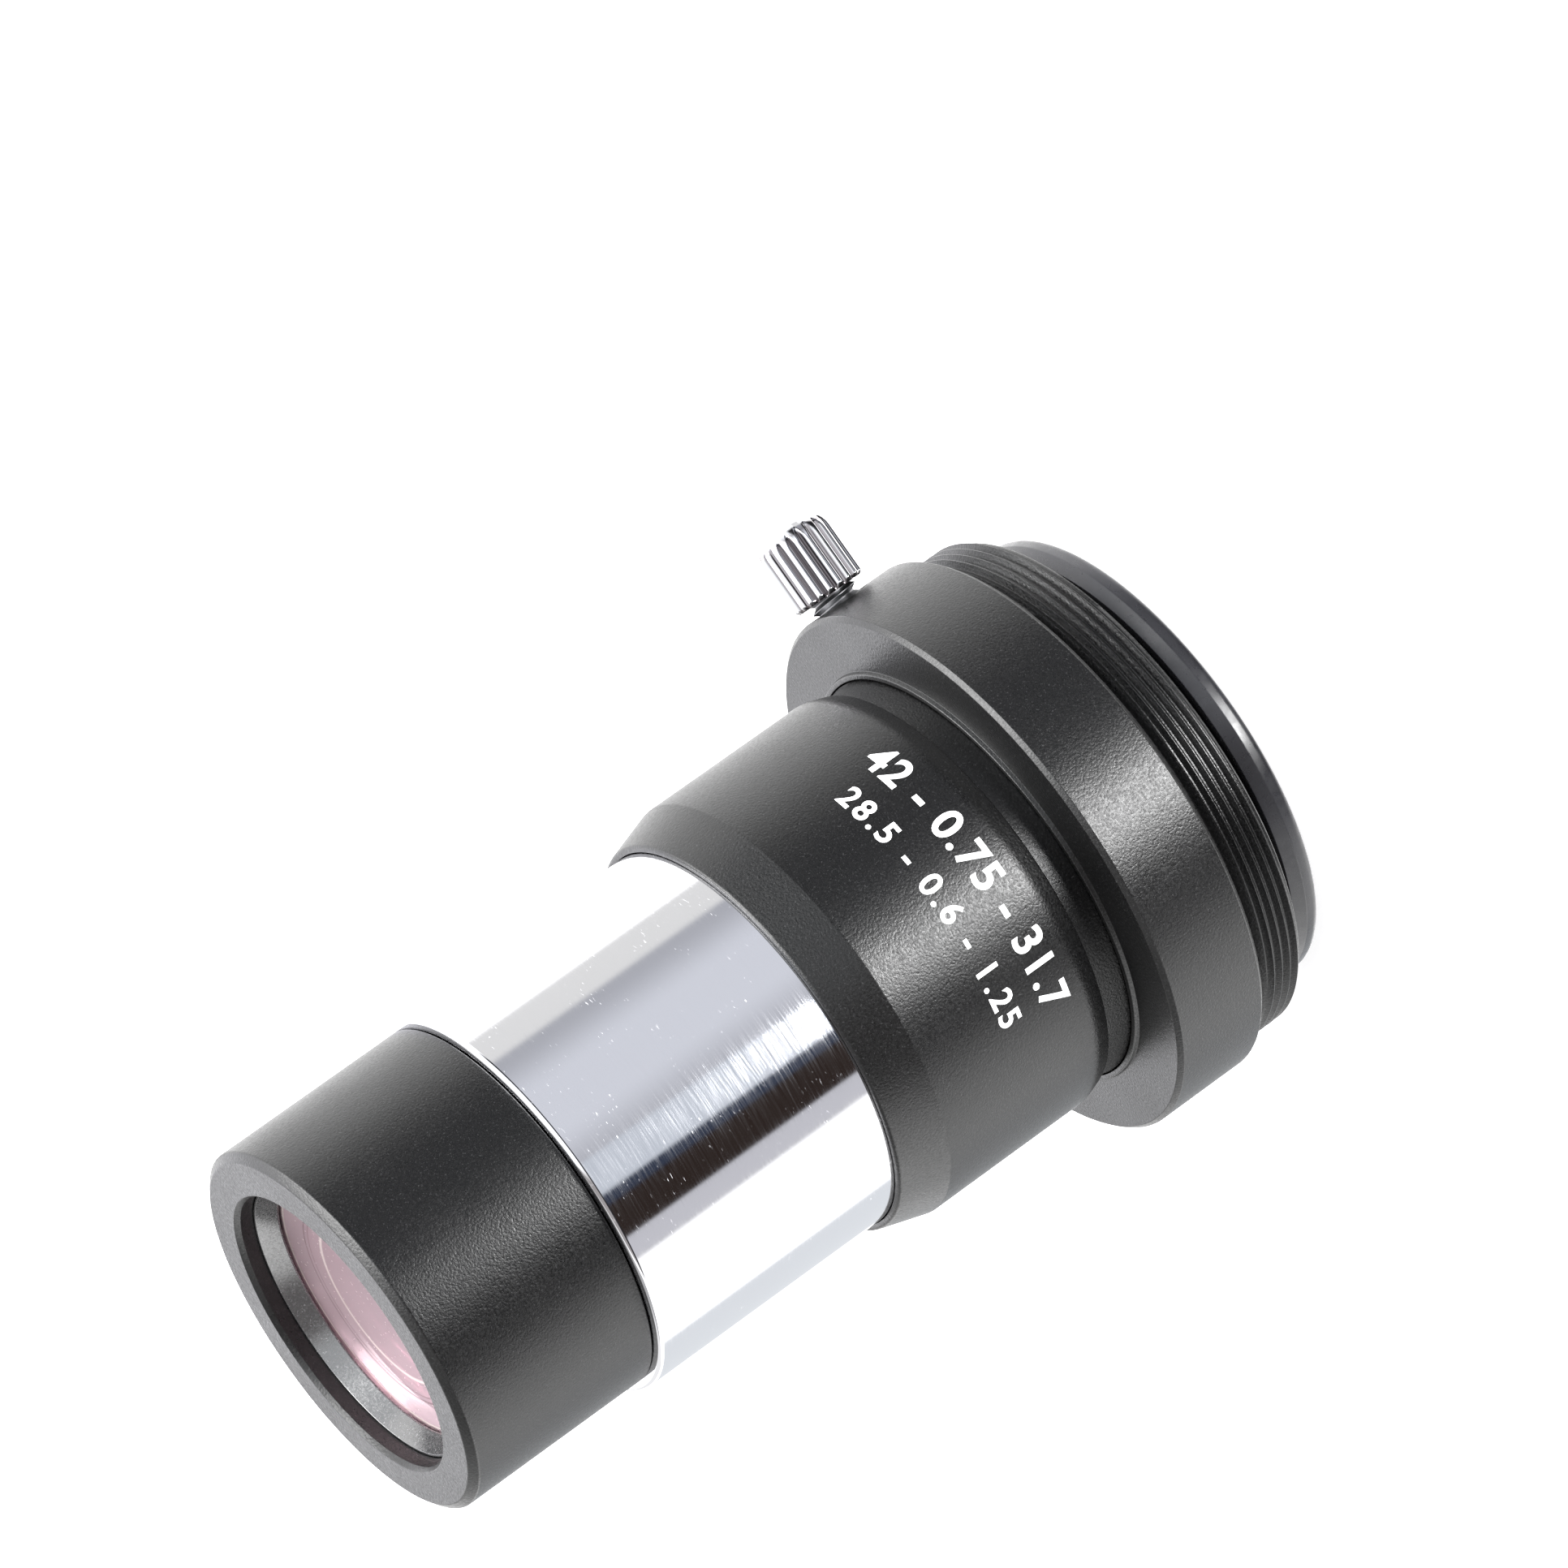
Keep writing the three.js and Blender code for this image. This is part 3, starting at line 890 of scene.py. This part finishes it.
tip_profile = [(0, TIP_START), (TIP_RADIUS, TIP_START, 0.25), (TIP_RADIUS, TIP_END, 0.1), (0, TIP_END)]
tip = rod_along_x(to_object("pressure_tip", turned(soften(tip_profile), SCREW_SEGMENTS, closed=False)))
place(tip, BRASS, "clamp_tip", "tip_brass", "thumbscrew_tip")


# ---- studio -------------------------------------------------------------------------------------


def band(tree, angle, start, end, soft):
    """1 where an angle lies between start and end, fading over soft degrees at each side."""
    rise = ramp(tree, angle, start - soft / 2, start + soft / 2, 0, 1, "SMOOTHSTEP")
    fall = ramp(tree, angle, end - soft / 2, end + soft / 2, 1, 0, "SMOOTHSTEP")
    return maths(tree, "MULTIPLY", rise, fall)


# Sheets and cards round the object. Each has the azimuths (from -Y towards +X) and the elevations that
# it covers, in degrees, the softness of its azimuths, and its colour. A later one covers an earlier
# one. Seen from the camera, upright polished surfaces mirror only what lies in the belt.
SURROUND = (2.3, 2.3, 2.3, 1)
BELT = (-27, -12)
ELEVATION_SOFTNESS = 6
PANELS = [
    ("front_sky_right", (-4, 84), (0, 100), 16, (1.5, 1.55, 1.6)),
    ("front_sky_left", (-62, -4), (0, 100), 16, (0.4, 0.38, 0.38)),
    ("front_gloom", (-70, 80), (-80, 6), 18, (0.03, 0.03, 0.033)),
    ("left_top_gloom", (-150, -70), (25, 100), 15, (0.5, 0.5, 0.5)),
    ("right_top_lamp", (38, 118), (34, 74), 10, (12.0, 12.0, 12.0)),
    ("rear_lamp_right", (120, 200), (6, 45), 14, (2.6, 2.6, 2.7)),
    ("rear_lamp_left", (-200, -130), (6, 45), 14, (1.0, 1.0, 1.0)),
    ("rear_lamp_middle", (-200, -176), (6, 45), 9, (2.6, 2.6, 2.7)),
    ("left_lamp", (-114, -72), (-60, 5), 10, (3.4, 3.4, 3.4)),
    ("right_sheet", (74, 200), BELT, 8, (2.3, 2.3, 2.3)),
    ("right_edge", (69, 94), BELT, 6, (0.84, 0.84, 0.83)),
    ("rear_left_sheet", (-168, -118), BELT, 8, (0.82, 0.85, 0.88)),
    ("left_sheet", (-118, -58), BELT, 8, (1.7, 1.7, 1.7)),
    ("front_sheet", (-21, 72), BELT, 5, (0.47, 0.48, 0.52)),
    ("front_glow", (8, 56), BELT, 26, (0.73, 0.75, 0.81)),
    ("cool_strip", (-21, 0), BELT, 3, (0.6, 0.64, 0.7)),
    ("grey_strip", (-58, -44), BELT, 4, (0.62, 0.62, 0.66)),
    ("dark_card", (-45, -21), BELT, 2.5, (0.03, 0.021, 0.018)),
    ("blue_edge", (-25.5, -19.5), BELT, 3, (0.035, 0.045, 0.075)),
]

world = bpy.data.worlds.new("studio")
bpy.context.scene.world = world
world.use_nodes = True
tree = world.node_tree
direction = node(tree, "ShaderNodeTexCoord").outputs["Generated"]
parts = node(tree, "ShaderNodeSeparateXYZ", {0: direction}).outputs
azimuth = maths(tree, "ARCTAN2", parts["X"], maths(tree, "MULTIPLY", parts["Y"], -1))
azimuth = maths(tree, "DEGREES", azimuth)
elevation = maths(tree, "DEGREES", maths(tree, "ARCSINE", parts["Z"]))
glow = SURROUND
for name, azimuths, elevations, soft, colour in PANELS:
    across = band(tree, azimuth, *azimuths, soft)
    up = band(tree, elevation, *elevations, ELEVATION_SOFTNESS)
    glow = mix_colour(tree, maths(tree, "MULTIPLY", across, up), glow, (*colour, 1))

# The camera sees a plain pale backdrop behind the object instead of the panels
seen = node(tree, "ShaderNodeLightPath").outputs["Is Camera Ray"]
panels = node(tree, "ShaderNodeBackground", {"Color": glow})
backdrop = node(tree, "ShaderNodeBackground", {"Color": (0.96, 0.96, 0.97, 1)})
surface = mix_shader(tree, seen, panels, backdrop).outputs[0]
tree.links.new(surface, tree.nodes["World Output"].inputs["Surface"])


def soft_box(name, azimuth_deg, distance, height, size, aim_z, watts):
    """A rectangular area light that faces the axis at the height aim_z."""
    lamp = bpy.data.lights.new(name, "AREA")
    lamp.shape = "RECTANGLE"
    lamp.size = size[0] * MM
    lamp.size_y = size[1] * MM
    lamp.energy = watts
    obj = added(name, lamp)
    turn = math.radians(azimuth_deg)
    obj.location = Vector((distance * math.sin(turn), -distance * math.cos(turn), height)) * MM
    aim = Vector((0, 0, aim_z * MM)) - obj.location
    obj.rotation_mode = "QUATERNION"
    obj.rotation_quaternion = aim.to_track_quat("-Z", "Y")
    obj.visible_camera = False


soft_box("front_box", azimuth_deg=-9, distance=190, height=-64, size=(54, 60), aim_z=25, watts=0.45)

# The floor glows a little, which keeps it pale. The object doesn't mirror it, and it throws no shadow,
# so the lamp below it shines through.
bpy.ops.mesh.primitive_grid_add(x_subdivisions=4, y_subdivisions=4, size=40)
floor = bpy.context.object
floor.name = "floor"
floor_paint, tree, shader, _ = material("floor")
look = {
    "Base Color": (0.85, 0.85, 0.86, 1),
    "Roughness": 0.9,
    "Emission Color": (1, 1, 1, 1),
    "Emission Strength": 0.7,
}
fill(tree, shader, look)
floor.data.materials.append(floor_paint)
floor.visible_glossy = False
floor.visible_shadow = False


# ---- camera -------------------------------------------------------------------------------------

# Place in metres, the angle that it looks down by and its roll in degrees, and its focal length
CAMERA_PLACE = (0.01355, -0.7020, 0.2928)
CAMERA_DOWN = 20.93
CAMERA_ROLL = -125.17
CAMERA_LENS = 240.2
SENSOR_WIDTH = 36

camera = added("camera", bpy.data.cameras.new("camera"))
camera.data.sensor_width = SENSOR_WIDTH
camera.data.lens = CAMERA_LENS
camera.data.clip_start = 0.01
camera.data.clip_end = 100
camera.location = CAMERA_PLACE
camera.rotation_mode = "QUATERNION"
level_view = Quaternion((1, 0, 0), math.radians(90 - CAMERA_DOWN))
camera.rotation_quaternion = level_view @ Quaternion((0, 0, 1), math.radians(CAMERA_ROLL))
bpy.context.scene.camera = camera
bpy.context.scene.view_settings.view_transform = "Standard"
